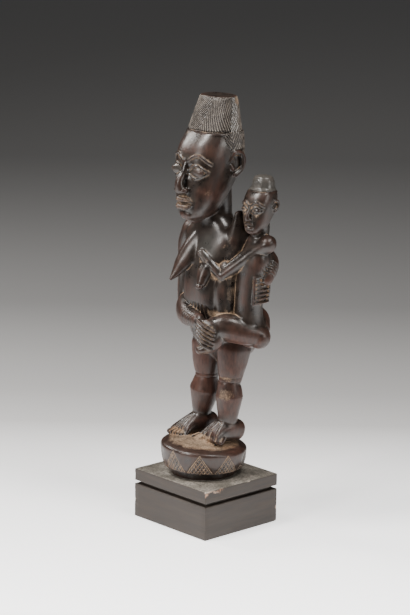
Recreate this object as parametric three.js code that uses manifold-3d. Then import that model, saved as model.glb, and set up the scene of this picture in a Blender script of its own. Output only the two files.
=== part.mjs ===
// A carved african maternity figure on a plinth.
// A standing mother holds a child on her left hip. Both are cut, with the round base under the feet,
// from one block of dark wood. The figure rests loosely on a wooden plinth with a saw cut round it.
// Millimetres, +Z up, the figure faces -Y, origin at the middle of the plinth's underside.
import * as THREE from "three";
import { LoftGeometry } from "three/addons/geometries/LoftGeometry.js";
import { mergeVertices } from "three/addons/utils/BufferGeometryUtils.js";
import Module from "manifold-3d";

// Driving sizes of the plinth.
const plinthWidth = 78;
const plinthDepth = 72.5;
const plinthBlockHeight = 25.4;
const plinthCutHeight = 2.6;
const plinthCutDepth = 3.8;
const plinthSlabHeight = 9;

// Driving sizes of the figure's round base: a hidden foot, a carved band and a rounded shoulder.
const baseRadius = 32;
const baseFootInset = 8;
const baseFootHeight = 6;
const baseBandHeight = 15.5;
const baseShoulderHeight = 2.5;
const bandTriangles = 9;
const baseDome = 3.4;
const bandLineWidth = 1.2;

// The carving above the base is laid out in shares of its own height, 258.5 of them.
const bodyHeight = 258.5;
const share = bodyHeight / 258.5;

const plinthHeight = plinthBlockHeight + plinthCutHeight + plinthSlabHeight;
const baseHeight = baseFootHeight + baseBandHeight + baseShoulderHeight;
const degree = Math.PI / 180;

const wasm = await Module();
wasm.setup();
const xAxis = new THREE.Vector3(1, 0, 0);
const yAxis = new THREE.Vector3(0, 1, 0);
const zAxis = new THREE.Vector3(0, 0, 1);

// Helpers that turn rings and outlines into solids.

function solid(geometry) {
  const bare = new THREE.BufferGeometry();
  bare.setAttribute("position", geometry.getAttribute("position"));
  bare.setIndex(geometry.getIndex());
  const merged = mergeVertices(bare, 1e-4);
  return new wasm.Manifold(new wasm.Mesh({
    numProp: 3,
    vertProperties: new Float32Array(merged.attributes.position.array),
    triVerts: new Uint32Array(merged.index.array),
  }));
}

function join(parts) {
  return wasm.Manifold.union(parts.flat(Infinity));
}

// A ring of points. A power of 2 is an ellipse, more is squarer, and less is keeled like a lozenge.
function ring(centre, across, along, halfAcross, halfAlong, sides, power) {
  return Array.from({ length: sides }, (_, i) => {
    const turn = (2 * Math.PI * i) / sides;
    const c = Math.cos(turn);
    const s = Math.sin(turn);
    const reach = (Math.abs(c) ** power + Math.abs(s) ** power) ** (-1 / power);
    return centre.clone()
      .addScaledVector(across, c * reach * halfAcross)
      .addScaledVector(along, s * reach * halfAlong);
  });
}

function skin(rings) {
  return solid(new LoftGeometry(rings, { capStart: true, capEnd: true }));
}

// A limb runs smoothly through stations of [x, y, z, half-thickness along `across`, the other half].
function limb(stations, { across = xAxis, sides = 10, steps = 1, power = 2, dome = 2 } = {}) {
  const path = new THREE.CatmullRomCurve3(stations.map((s) => new THREE.Vector3(s[0], s[1], s[2])));
  const girth = new THREE.CatmullRomCurve3(stations.map((s) => new THREE.Vector3(s[3], s[4] ?? s[3], 0)));
  const count = steps * (stations.length - 1);
  const rings = [];
  const addRing = (t, shift, shrink) => {
    const forward = path.getTangent(t);
    const side = across.clone().addScaledVector(forward, -across.dot(forward)).normalize();
    const other = new THREE.Vector3().crossVectors(forward, side);
    const half = girth.getPoint(t);
    const reach = Math.min(half.x, half.y) * shift;
    const centre = path.getPoint(t).addScaledVector(forward, reach);
    rings.push(ring(centre, side, other, half.x * shrink, half.y * shrink, sides, power));
  };
  for (let i = dome; i > 0; i--) addRing(0, -Math.sin(80 * degree * (i / dome)), Math.cos(80 * degree * (i / dome)));
  for (let i = 0; i <= count; i++) addRing(i / count, 0, 1);
  for (let i = 1; i <= dome; i++) addRing(1, Math.sin(80 * degree * (i / dome)), Math.cos(80 * degree * (i / dome)));
  return skin(rings);
}

// A stack of level rings from rows of [height, front, back, half-width] and, at will, a sideways shift.
function stack(rows, { sides = 24, power = 2.3, grow = 0 } = {}) {
  return skin(rows.map(([z, front, back, half, shift = 0]) => {
    const centre = new THREE.Vector3(shift, (front + back) / 2, z);
    return ring(centre, xAxis, yAxis, half + grow, (back - front) / 2 + grow, sides, power);
  }));
}

// The row of a stack at any height, between its neighbours.
function rowAt(rows, z) {
  const i = Math.min(Math.max(rows.findIndex((row) => row[0] > z), 1), rows.length - 1);
  const mix = (z - rows[i - 1][0]) / (rows[i][0] - rows[i - 1][0]);
  return rows[i].map((value, k) => THREE.MathUtils.lerp(rows[i - 1][k] ?? 0, value, mix));
}

function ball(x, y, z, rx, ry = rx, rz = ry, across = 10, down = 6) {
  const geometry = new THREE.SphereGeometry(1, across, down);
  geometry.scale(rx, rz, ry);
  geometry.rotateX(Math.PI / 2);
  geometry.translate(x, y, z);
  return solid(geometry);
}

// A V-shaped cut, or a thin raised line, along points on a surface.
function line(points, halfWidth, options = {}) {
  return limb(points.map((p) => [...p, halfWidth]), { sides: 4, dome: 0, ...options });
}

// A flat outline of [y, z] points, as thick as twice `half` along X.
function plank(outline, half) {
  const geometry = new THREE.ExtrudeGeometry(new THREE.Shape(outline.map((p) => new THREE.Vector2(...p))),
    { depth: 2 * half, bevelEnabled: false });
  geometry.applyMatrix4(new THREE.Matrix4().makeBasis(yAxis, zAxis, xAxis));
  geometry.translate(-half, 0, 0);
  return solid(geometry);
}

function bothSides(build) {
  return [build(1), build(-1)];
}

// Head and face, laid out for the mother and used again, smaller, for the child.

const chinHeight = 169.5;
const hairlineHeight = 233;
const faceHeight = hairlineHeight - chinHeight;
const browHeight = chinHeight + 0.67 * faceHeight;
const eyeHeight = chinHeight + 0.57 * faceHeight;
const noseHeight = chinHeight + 0.34 * faceHeight;
const mouthHeight = chinHeight + 0.21 * faceHeight;
const eyeOut = 9.6;
const facePower = 2.5;

// A height on the head, as a share of the way from the chin to the hairline.
function level(t) {
  return chinHeight + t * faceHeight;
}

// Rows of [height, front, back, half-width] from the chin to under the hair.
const headRows = [
  [level(-0.01), -20.6, -8, 5],
  [level(0.03), -24, -3, 9.5],
  [level(0.1), -25.6, 2, 12.8],
  [level(0.2), -26, 6, 15.6],
  [level(0.31), -26, 10.6, 17.8],
  [level(0.42), -25.8, 15.4, 19.2],
  [level(0.53), -25.6, 19, 20.2],
  [level(0.64), -25.4, 21.4, 20.8],
  [level(0.75), -24.4, 22.6, 20.9],
  [level(0.84), -21.6, 22.6, 20.6],
  [level(0.92), -18, 22, 20.1],
  [level(1), -14, 21, 19.4],
];

function faceAt(x, z, out = 0) {
  const [, front, back, half] = rowAt(headRows, z);
  const depth = (back - front) / 2;
  const bulge = (1 - Math.min(Math.abs(x) / half, 1) ** facePower) ** (1 / facePower);
  return [x, (front + back) / 2 - depth * bulge - out, z];
}

// The line of an eyelid or brow: from the inner corner to the outer one, arched by `rise`.
function arch(side, inner, outer, z, rise, drop, out, points = 5) {
  return Array.from({ length: points + 1 }, (_, i) => {
    const t = i / points;
    return faceAt(side * THREE.MathUtils.lerp(inner, outer, t), z + rise * Math.sin(Math.PI * t) - drop * t, out);
  });
}

function face(fine) {
  const points = fine ? 3 : 2;
  const eyes = bothSides((side) => {
    const [x, y, z] = faceAt(side * eyeOut, eyeHeight, -1.6);
    const lid = (rise) => line(arch(side, 2.9, 17, eyeHeight, rise, 0, 0.1, points), 1);
    const brow = line(arch(side, 2.6, 18.4, browHeight, 6, 3, 0, points), 1.3);
    const globe = ball(x, y, z, 6.4, 2.9, 3.9, fine ? 8 : 6, 4);
    return fine ? [globe, lid(4.6), lid(-4.6), brow] : [globe, brow];
  });
  const tip = faceAt(0, noseHeight, 6.4);
  const bridge = limb([
    [...faceAt(0, browHeight + 1, -0.8), 2.2, 2],
    [...faceAt(0, eyeHeight, 0.9), 2.1, 2.4],
    [0, tip[1] + 1.6, noseHeight + 6, 2.7, 3],
    [0, tip[1] + 2.6, noseHeight + 1.6, 3.6, 3.2],
  ], { sides: fine ? 8 : 5, dome: 1 });
  const nostrils = bothSides((side) => ball(side * 3.4, tip[1] + 3.8, noseHeight + 1.2, 2.7, 3.4, 2.4, 6, 4));
  const lip = (z, rise, half) => limb([
    [...faceAt(-7.6, z, -0.4), 0.8, 0.8],
    [...faceAt(-3.6, z + rise, 2.1), half, half],
    [...faceAt(3.6, z + rise, 2.1), half, half],
    [...faceAt(7.6, z, -0.4), 0.8, 0.8],
  ], { across: zAxis, sides: fine ? 6 : 4, dome: fine ? 1 : 0 });
  const lips = [lip(mouthHeight + 0.9, 1.7, 1.9), lip(mouthHeight - 0.9, -1.9, 2)];
  const chin = ball(0, faceAt(0, chinHeight + 5, 0)[1] + 4, chinHeight + 4.6, 7.4, 5.2, 4.6, 8, 5);
  return [eyes, bridge, lips, fine ? [nostrils, chin] : []];
}

function eyeHollows() {
  return bothSides((side) => {
    const [x, y, z] = faceAt(side * eyeOut, eyeHeight, 1.4);
    return ball(x, y, z, 8, 3.4, 6, 8, 5);
  });
}

function ears(fine) {
  return bothSides((side) => {
    const x = side * 20.4;
    const shell = ball(x - side * 1.2, 5.6, level(0.65), 2.4, 6.4, 7.4, 8, 4);
    const rim = () => limb([
      [x, -0.5, level(0.7), 1.7, 1.7],
      [x + side * 2, 3.4, level(0.79), 1.8, 1.9],
      [x + side * 3, 10.4, level(0.76), 1.8, 2],
      [x + side * 2.6, 11.6, level(0.61), 1.8, 2.1],
      [x + side * 0.8, 4, level(0.53), 2, 2.4],
    ], { sides: 5, dome: 0 });
    return fine ? [rim(), shell] : [ball(x, 6, level(0.65), 3, 5.6, 7, 6, 4)];
  });
}

// The mother's head is `fine`. The child's, half as large, has the same face in fewer facets.
function head(fine) {
  const rows = fine ? headRows : headRows.filter((_, i) => i % 2 === 0 || i > 8);
  const skull = stack(rows, { sides: fine ? 18 : 10, power: facePower });
  return join([fine ? skull.subtract(join(eyeHollows())) : skull, face(fine), ears(fine)]);
}

// The mother's hair: a tall mitre with a flat top, and a cap over the back of the head.

const mitreRows = [
  [hairlineHeight - 9, -12, 22.6, 20.6],
  [hairlineHeight, -14, 20.8, 19.6],
  [hairlineHeight + 16, -7.2, 19.6, 16.3, -0.4],
  [hairlineHeight + 23.2, -4, 18.6, 14.6, -0.6],
  [hairlineHeight + 24.2, -3.4, 18, 14.1, -0.6],
];
const mitrePower = 2.5;
const strokePitch = 19;
const strokeDrop = 42;

function mitreAt(turn, z) {
  const [, front, back, half, shift = 0] = rowAt(mitreRows, z);
  const s = Math.sin(turn);
  const c = -Math.cos(turn);
  const reach = (Math.abs(s) ** mitrePower + Math.abs(c) ** mitrePower) ** (-1 / mitrePower);
  return [shift + s * reach * half, (front + back) / 2 + c * reach * (back - front) / 2, z];
}

// Strokes fall from the front and back seams to the seams over the ears, in four quarters.
function hairStrokes() {
  const strokes = [];
  const low = hairlineHeight + 1.4;
  const high = mitreRows.at(-1)[0] - 0.6;
  for (const quarter of [1, -1, 3, -3]) {
    const seam = Math.abs(quarter) === 1 ? 0 : Math.PI;
    const towards = (Math.abs(quarter) === 1 ? 1 : -1) * Math.sign(quarter);
    for (let start = low + 4; start < high + strokeDrop; start += strokePitch) {
      const first = Math.max(0.04, (start - high) / strokeDrop);
      const last = Math.min(0.96, (start - low) / strokeDrop);
      if (last - first < 0.12) continue;
      const points = [0, 0.5, 1].map((k) => {
        const t = THREE.MathUtils.lerp(first, last, k);
        return mitreAt(seam + towards * t * Math.PI / 2, start - strokeDrop * t);
      });
      strokes.push(line(points, 0.9, { across: zAxis, sides: 3 }));
    }
  }
  return strokes;
}

function hair() {
  const mitre = stack(mitreRows, { sides: 20, power: mitrePower });
  const cap = stack(headRows.slice(5), { sides: 16, power: facePower, grow: 0.9 });
  const bare = plank([
    [-40, level(0)], [40, level(0)], [40, level(0.46)], [14, level(0.48)], [5, level(0.64)], [2, level(0.75)],
    [-4, level(0.87)], [-5, hairlineHeight], [-40, hairlineHeight],
  ], 40);
  const hairlineCut = line([-1, -0.55, 0, 0.55, 1].map((k) => mitreAt(k * 82 * degree, hairlineHeight + 0.4)), 0.7);
  const edge = line([-1, -0.55, 0, 0.55, 1].map((k) => mitreAt(k * 80 * degree, hairlineHeight - 1.2)), 0.9);
  return join([mitre, edge, cap.subtract(bare)]).subtract(join([hairStrokes(), hairlineCut]));
}

// The mother's trunk, neck, shoulders and breasts.

const trunkRows = [
  [60, 9, 24, 17],
  [67, 4, 29.5, 22.4],
  [77, -3, 32, 24.6],
  [86, -8.6, 29.5, 23.6],
  [96, -12.4, 24.5, 22],
  [107, -15, 21.5, 21],
  [119, -15.2, 19.8, 20.4],
  [132, -13.4, 19, 20.4],
  [144, -11.4, 19, 22.4],
  [153, -8.8, 18.8, 25.6],
  [159, -6.8, 18, 24.6],
  [164, -5.6, 17, 18.6],
  [170, -5.4, 17, 12.6],
];

function trunk() {
  const neck = limb([[0, 6, 158, 13, 11], [0, 6, level(0.04), 11.8, 11.6], [0, 4, level(0.32), 12, 13]],
    { sides: 12, dome: 0 });
  const leftShoulder = limb([
    [20, 6, 146, 8, 9], [23.5, 6, 160, 6.4, 8], [25, 5.4, 170, 3.8, 5.6], [25.2, 5, 174.5, 2.6, 4],
  ], { sides: 8 });
  const buttocks = bothSides((side) => ball(side * 11.5, 22.5, 76, 12.4, 12, 13.5, 9, 6));
  return [stack(trunkRows, { sides: 16 }), neck, leftShoulder, buttocks];
}

function breasts() {
  const right = limb([
    [-5.4, 2.6, 156, 10, 9], [-9.4, -5.6, 146, 10, 8.4], [-12.8, -14, 135, 7.4, 6], [-14.6, -20.6, 126.6, 3.2, 2.8],
    [-15.2, -23.8, 123.4, 1.3, 1.3],
  ], { power: 1.6, dome: 1 });
  const left = limb([[9, 0, 142, 8, 7], [9.4, -10, 134, 6, 5.4], [9.8, -15.4, 127, 4.6, 4.4], [10, -17.4, 122.6, 3.6, 3.4]],
    { power: 1.8, dome: 1, sides: 8 });
  return [right, left];
}

// Her right arm comes down and across to the child's knee, with bracelets and four stacked fingers.

function rightArm() {
  const upper = [[-23, 6, 155, 9.4, 9], [-28.6, 6.2, 144, 8.2, 8.2], [-29.2, 6.4, 128, 7.4, 7.6], [-29, 5.6, 110, 7.2, 7.8],
    [-26.8, 3.8, 99, 7, 7.6]];
  const lower = [[-24.8, 2.8, 97.4, 7.2, 7.6], [-18.8, -4.4, 95.6, 8.4, 8], [-10, -11.6, 95.6, 8.2, 7.6], [1, -17, 96.4, 6.8, 6.4],
    [9, -19.6, 96.4, 6, 5.4]];
  return [limb(upper, { sides: 9, dome: 1 }), limb(lower, { sides: 10, across: zAxis })];
}

function rightHand() {
  const palm = limb([[7, -19.4, 96, 6.4, 5], [13, -20, 92.4, 9, 4.4], [20, -18.6, 90.4, 9.4, 3.8]],
    { sides: 8, across: zAxis });
  const fingers = Array.from({ length: 4 }, (_, i) => {
    const z = 98.4 - 4.1 * i;
    return limb([
      [12.5, -22, z + 1, 2.3, 2.2], [20, -21.6, z - 1.6, 2.3, 2.3], [26.4, -18.6, z - 4.2, 2.2, 2.2],
    ], { sides: 5, dome: 1, across: zAxis });
  });
  const thumb = limb([[13, -19, 100.5, 2.4], [19, -19.4, 103, 2.6], [25, -16.6, 103.2, 2.2]],
    { sides: 6, dome: 1, across: zAxis });
  return [palm, fingers, thumb];
}

// Her left arm passes behind the child, and its fingers lie on the child's flank.

function leftArm() {
  const arm = limb([
    [23, 9, 158, 8, 8], [26, 17, 150, 7.6, 8], [31, 24, 142, 7, 7.6], [38, 20.4, 138, 6, 6.4], [44, 13.8, 137, 5.2, 5.4],
    [46.4, 8, 132, 5, 5.2],
  ], { sides: 9, dome: 1, across: zAxis });
  const back = limb([[44.8, 12, 130, 10, 4], [45.2, 8, 124.6, 12.6, 4.6], [43.8, 2, 122.4, 12, 5.4]],
    { sides: 8, dome: 1, across: zAxis });
  const fingers = Array.from({ length: 5 }, (_, i) => limb([
    [48, 11.6 - 0.9 * i, 130.8 - 3.9 * i, 2], [48.8 - 0.2 * i, 5.6, 130.2 - 3.9 * i, 2],
    [47 - 0.2 * i, 0.2, 130.2 - 3.9 * i, 2],
  ], { sides: 5, dome: 1, across: zAxis }));
  return [arm, back, fingers];
}

// The child sits astride the hip, one leg before the mother and one behind her.

function child() {
  const torso = limb([
    [34.4, 11.6, 86, 10, 10.4], [32.6, 9.6, 97, 10, 10.4], [33, 9, 108, 9.6, 9.6], [34.6, 9.6, 126, 10.6, 10],
    [37.4, 11, 144, 11.6, 9.6], [38.6, 12, 154, 8.4, 8],
  ], { sides: 11, power: 2.4, dome: 1 });
  const neck = limb([[39, 12.6, 152, 7], [39.6, 13, 168, 6.6]], { sides: 8, dome: 0 });
  const buttock = ball(40, 13.4, 84.4, 8.4, 8.4, 8.8, 9, 6);
  const limbs = { sides: 6, dome: 1, across: zAxis };
  const keeled = { ...limbs, power: 1.8 };
  const upperArm = limb([[47.6, 12, 155, 7, 7.2], [40, 7.6, 149, 6.4, 6], [30, 1, 139.4, 5.4, 5.4], [21, -5.6, 130.6, 4.6, 4.8]], keeled);
  const foreArm = limb([[20.2, -6.4, 129.6, 4.4, 4.4], [12, -10, 137, 3.9, 3.6], [4.4, -12, 144.5, 3.6, 3.2]], keeled);
  const frontThigh = limb([[37.8, 11.8, 89.6, 9, 9.2], [33, 3, 91.4, 10.4, 9.6], [24.5, -8, 92, 9.4, 9], [20.4, -12, 90.6, 7.8, 8]],
    { ...limbs, sides: 9, dome: 1 });
  const frontShin = limb([[22, -12, 88, 7, 7.2], [21.4, -14.4, 82, 6.6, 6], [19.6, -15.8, 78, 4.8, 4.6], [18, -17.4, 76.6, 4, 4]],
    { sides: 8, dome: 1 });
  const foot = limb([[20, -16.4, 77.4, 3.4, 3.8], [16.8, -19.2, 76.2, 3.2, 4.4], [14.6, -21, 75.4, 2.4, 4]], limbs);
  const backThigh = limb([[34.4, 19, 89.6, 8.8, 7.8], [26, 26.6, 93, 8.8, 7.4], [15, 30, 94, 8, 6.8], [8, 30.4, 91, 6.6, 6]], limbs);
  const backShin = limb([[8, 30.4, 90, 6, 5.4], [7, 31.6, 82, 4.8, 4.6], [4, 32.6, 75, 3.2, 4.2]], { sides: 7, dome: 1 });
  const backArm = limb([[29, 15, 151, 6.4, 6], [24, 20, 142, 5, 4.6], [15, 22.6, 137, 4.2, 4], [8, 22.6, 137, 3.2, 3.4]], limbs);
  return [torso, neck, buttock, upperArm, foreArm, frontThigh, frontShin, foot, backThigh, backShin, backArm];
}

const childScale = 0.49;
const childWidth = 0.52;
const childHeadTurn = 8;

function childHead() {
  const cap = stack([
    [hairlineHeight - 2, -14.4, 20.6, 18.6], [hairlineHeight + 2, -12.4, 19.4, 16.4], [hairlineHeight + 7, -9, 18.6, 14.8],
    [hairlineHeight + 14, -7.6, 17.8, 14.2], [hairlineHeight + 19, -4.4, 14.4, 10.6], [hairlineHeight + 21, 0.6, 9.6, 5],
  ], { sides: 12, power: 2.2 });
  const rimCut = line([-1, -0.5, 0, 0.5, 1].map((k) => {
    const turn = k * 86 * degree;
    return [19.4 * Math.sin(turn), 3.5 - 17.6 * Math.cos(turn), hairlineHeight - 0.4];
  }), 0.9);
  return join([head(false), cap]).subtract(rimCut)
    .translate([0, 0, -chinHeight])
    .scale([childWidth, childWidth, childScale])
    .rotate([0, 0, childHeadTurn])
    .translate([39.4, 12.9, 162.6]);
}

// The mother's legs and feet.

// Rows of a leg: x, y, height, half-width and half-depth. The fifth is over the knee, and its thigh ends with the last.
const leftLegRows = [
  [13, 8.6, 6, 7, 7], [13.6, 8.4, 17, 7, 7], [14.6, 8.7, 35.6, 10.2, 10.2], [14.2, 8.8, 46.4, 8.2, 8.2],
  [14.2, 9.4, 48, 8.6, 8.6], [14.6, 11, 60, 10.8, 11.4], [14.8, 12.2, 71, 12.2, 13.6], [14.8, 14, 80, 10.6, 12],
];
const rightLegRows = [
  [-14.6, 8.4, 6, 7, 7.4], [-14.4, 8.4, 18, 7, 7.2], [-12.2, 9, 36, 11.8, 11], [-11, 9.4, 45.4, 8.6, 8.4],
  [-11, 9.8, 47, 9, 8.8], [-11.8, 11, 58, 11.2, 11.4], [-12.4, 12.4, 70, 12.2, 13.4], [-12.4, 14, 80, 10.6, 12],
];

function leg(rows) {
  return skin(rows.map(([x, y, z, half, deep]) => ring(new THREE.Vector3(x, y, z), xAxis, yAxis, half, deep, 10, 2)));
}

// A broad steep foot: its heel, instep and the middle of its toes as [x, y, z], and the two end toes' tips.
const toeHalf = 2.1;
const footWidths = [7.8, 9.6, 10.6, 11.2];
const footThickness = [7.6, 8.6, 7, 4.4];

function foot(heel, instep, ball, front, little, big) {
  const spots = [heel, instep, ball, front];
  const body = limb(spots.map((spot, i) => [...spot, footThickness[i], footWidths[i]]),
    { sides: 9, dome: 1, across: zAxis });
  const toes = Array.from({ length: 5 }, (_, i) => {
    const tip = little.map((value, k) => THREE.MathUtils.lerp(value, big[k], i / 4));
    const root = tip.map((value, k) => THREE.MathUtils.lerp(value, instep[k], 0.4));
    return limb([[...root, toeHalf], [...tip, toeHalf]], { sides: 5, dome: 1, across: zAxis });
  });
  return [body, toes];
}

function feet() {
  return [
    foot([13.4, 15, 8.4], [12, 8, 10.6], [8.4, 0, 7.6], [8.2, -5.4, 4.6], [20, -5.6, 2.8], [-4, -9.8, 3.4]),
    foot([-14, 14.6, 8], [-14, 7.6, 9.8], [-18, -2.4, 7.2], [-20.2, -8, 4.4], [-28.2, -12.4, 2.6], [-13.2, -13.4, 3.8]),
  ];
}

// The round base: a turned form whose top falls away to the figure's left, with a lined band.

const topFall = 4.2;
const topFallTowards = 137 * degree;
const baseShift = [-1.4, -1.4];
const bandRadius = baseRadius - 0.6;
const bandLow = baseFootHeight;
const bandHigh = baseFootHeight + baseBandHeight;

// Tips a point of the base so that its top falls away and its underside stays flat.
function tipped([x, y, z]) {
  const rise = THREE.MathUtils.clamp(z / baseHeight, 0, 1);
  const outward = x * Math.sin(topFallTowards) - y * Math.cos(topFallTowards);
  return [x + baseShift[0], y + baseShift[1], z - (topFall * rise * outward) / (2 * baseRadius)];
}

// A point of the band's surface, `turn` round from the front and `t` of the way up.
function bandAt(turn, t) {
  const radius = bandRadius - 1.6 * Math.max(0, 0.4 - t) / 0.4 + 0.6 * t;
  return tipped([radius * Math.sin(turn), -radius * Math.cos(turn), bandLow + t * baseBandHeight]);
}

function baseBlock() {
  const profile = [
    [0, 0], [baseRadius - baseFootInset, 0], [bandRadius - 1.6, bandLow], [bandRadius, bandLow + baseBandHeight * 0.4],
    [bandRadius + 0.6, bandHigh], [bandRadius - 1.6, bandHigh + baseShoulderHeight / 2],
    [bandRadius - 6, baseHeight], [bandRadius - 17, baseHeight + baseDome * 0.8], [0, baseHeight + baseDome],
  ];
  const geometry = new THREE.LatheGeometry(profile.map((p) => new THREE.Vector2(...p)), 24);
  geometry.rotateX(Math.PI / 2);
  const points = geometry.attributes.position;
  for (let i = 0; i < points.count; i++) points.setXYZ(i, ...tipped([points.getX(i), points.getY(i), points.getZ(i)]));
  const cuts = [];
  const spread = (0.45 * 2 * Math.PI) / bandTriangles;
  for (let i = 0; i < bandTriangles; i++) {
    const middle = 42 * degree + (2 * Math.PI * i) / bandTriangles;
    for (const way of [-1, 1]) {
      const spots = [0, 0.5, 1].map((k) => bandAt(middle + way * spread * k, 0.94 - 0.9 * k));
      cuts.push(line(spots, bandLineWidth / 2, { across: zAxis, sides: 3 }));
    }
  }
  return solid(geometry).subtract(join(cuts));
}

// The two pieces.

// Carved from solid wood: a shell that closes on itself inside the block is filled in.
function withoutHollows(manifold) {
  return join(manifold.decompose().filter((shell) => shell.volume() > 0));
}

function geometryOf(manifold) {
  const mesh = manifold.getMesh();
  const geometry = new THREE.BufferGeometry();
  geometry.setAttribute("position", new THREE.BufferAttribute(new Float32Array(mesh.vertProperties), 3));
  geometry.setIndex(new THREE.BufferAttribute(new Uint32Array(mesh.triVerts), 1));
  return geometry;
}

function carvedFigure() {
  const carving = join([
    trunk(), breasts(), rightArm(), rightHand(), leftArm(), child(), childHead(), head(true), hair(),
    leg(leftLegRows), leg(rightLegRows), feet(),
  ]);
  const above = carving.scale(share).translate([0, 0, baseHeight]);
  return withoutHollows(join([above, baseBlock()]));
}

function plinthBlock() {
  const cutFloor = plinthBlockHeight;
  const cutRoof = plinthBlockHeight + plinthCutHeight;
  const box = (low, high, inset) => {
    const geometry = new THREE.BoxGeometry(plinthWidth - 2 * inset, plinthDepth - 2 * inset, high - low);
    geometry.translate(0, 0, (low + high) / 2);
    return solid(geometry);
  };
  const neck = box(cutFloor / 2, cutRoof + plinthSlabHeight / 2, plinthCutDepth);
  return join([box(0, cutFloor, 0), neck, box(cutRoof, plinthHeight, 0)]);
}

const figureWood = new THREE.MeshStandardMaterial({ color: 0x2a1c16, roughness: 0.42, metalness: 0 });
const plinthWood = new THREE.MeshStandardMaterial({ color: 0x4a443f, roughness: 0.7, metalness: 0 });

const figure = new THREE.Mesh(geometryOf(carvedFigure()), figureWood);
figure.name = "figure";
figure.position.z = plinthHeight;
const plinth = new THREE.Mesh(geometryOf(plinthBlock()), plinthWood);
plinth.name = "plinth";

const model = new THREE.Group();
model.add(plinth, figure);
export default model;
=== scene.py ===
"""An african maternity figure: a mother with her child on her hip, one dark carving on a wooden plinth."""
import math
import bpy
import numpy as np
from mathutils import Matrix, Vector


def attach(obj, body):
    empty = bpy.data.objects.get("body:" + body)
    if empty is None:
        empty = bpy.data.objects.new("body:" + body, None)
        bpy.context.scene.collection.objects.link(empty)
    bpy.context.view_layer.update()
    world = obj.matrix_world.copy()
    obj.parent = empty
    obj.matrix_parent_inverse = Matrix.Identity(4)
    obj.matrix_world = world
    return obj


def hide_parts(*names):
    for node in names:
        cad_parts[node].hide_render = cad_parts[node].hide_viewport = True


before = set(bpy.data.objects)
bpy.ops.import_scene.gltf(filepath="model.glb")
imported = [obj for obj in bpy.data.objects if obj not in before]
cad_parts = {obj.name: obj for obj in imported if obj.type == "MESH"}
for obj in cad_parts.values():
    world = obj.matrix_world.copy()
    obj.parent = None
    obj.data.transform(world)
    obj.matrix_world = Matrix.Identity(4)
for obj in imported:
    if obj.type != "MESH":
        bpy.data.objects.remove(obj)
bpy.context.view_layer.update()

mm = 0.001
CARVING_FOOT = 61.0      # height of the round base's top, in mm: the carving's heights count from there
BASE_FOOT = 37.0         # height of the plinth's top
CHILD_TURN = 8.0         # degrees that the child's head is turned
BLOCK_GRAIN = 0.38       # pitch of the voxels that join the carving into one block
FIGURE_TRIANGLES = 190000                # the most that the finished carving keeps

# What follows is in millimetres until a part's mesh is finished.


def deselect():
    if bpy.context.object and bpy.context.object.mode != "OBJECT":
        bpy.ops.object.mode_set(mode="OBJECT")
    bpy.ops.object.select_all(action="DESELECT")


def points_of(piece):
    flat = np.empty(len(piece.data.vertices) * 3, np.float32)
    piece.data.vertices.foreach_get("co", flat)
    return flat.reshape(-1, 3).astype(float)


def move_points(piece, points):
    piece.data.vertices.foreach_set("co", np.asarray(points, np.float32).ravel())
    piece.data.update()


def between(low, high, value):
    """0 below low, 1 above high, and an even slope eased at both ends between them."""
    t = np.clip((value - low) / (high - low), 0, 1)
    return t * t * (3 - 2 * t)


def through(knots, rows, spots, straight=False):
    """A smooth run through rows of numbers, or a straight one, read at any spots along the knots."""
    if straight:
        return np.stack([np.interp(spots, knots, column) for column in rows.T], axis=-1)
    if len(rows) > 2:
        slopes = np.gradient(rows, knots, axis=0)
    else:
        slopes = np.repeat((rows[1:] - rows[:1]) / (knots[1] - knots[0]), 2, axis=0)
    i = np.clip(np.searchsorted(knots, spots, side="right") - 1, 0, len(knots) - 2)
    step = (knots[i + 1] - knots[i])[:, None]
    t = ((spots - knots[i])[:, None]) / step
    return ((2 * t ** 3 - 3 * t ** 2 + 1) * rows[i] + (t ** 3 - 2 * t ** 2 + t) * step * slopes[i]
            + (3 * t ** 2 - 2 * t ** 3) * rows[i + 1] + (t ** 3 - t ** 2) * step * slopes[i + 1])


def unit(rows):
    return rows / np.maximum(np.linalg.norm(rows, axis=-1, keepdims=True), 1e-9)


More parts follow.
